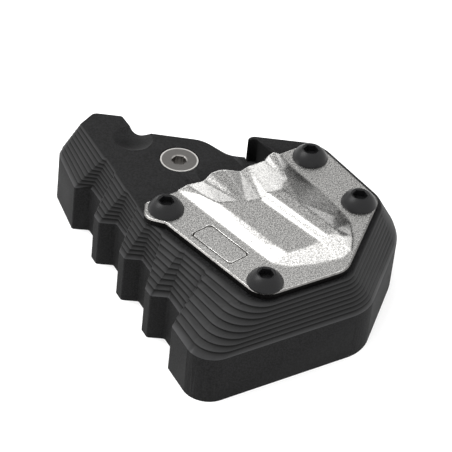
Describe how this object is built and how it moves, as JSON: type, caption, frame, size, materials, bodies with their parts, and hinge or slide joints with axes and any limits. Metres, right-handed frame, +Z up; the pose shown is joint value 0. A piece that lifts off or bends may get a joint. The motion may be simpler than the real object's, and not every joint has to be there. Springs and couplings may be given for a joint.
{
  "type": "kickstand extension plate",
  "caption": "Stepped, saw-toothed black base that widens a side stand's foot, with a formed steel clamp plate held down by button-head screws.",
  "frame": {"origin": "under the middle of the base, on the ground plane", "axes": "+X towards the rounded right end, +Y towards the back where the stand's leg leaves, +Z up"},
  "size_m": [0.1022, 0.0932, 0.0314],
  "materials": {
    "black_anodised": "fine matt black anodised",
    "blasted_steel": "fine blasted stainless steel",
    "black_oxide": "satin black oxide",
    "bright_steel": "satin stainless steel"
  },
  "bodies": {
    "root": {"base": "black_anodised", "clamp_plate": "blasted_steel", "clamp_screw_1": "black_oxide", "clamp_screw_2": "black_oxide", "clamp_screw_3": "black_oxide", "clamp_screw_4": "black_oxide", "arm_screw": "bright_steel"}
  },
  "joints": []
}
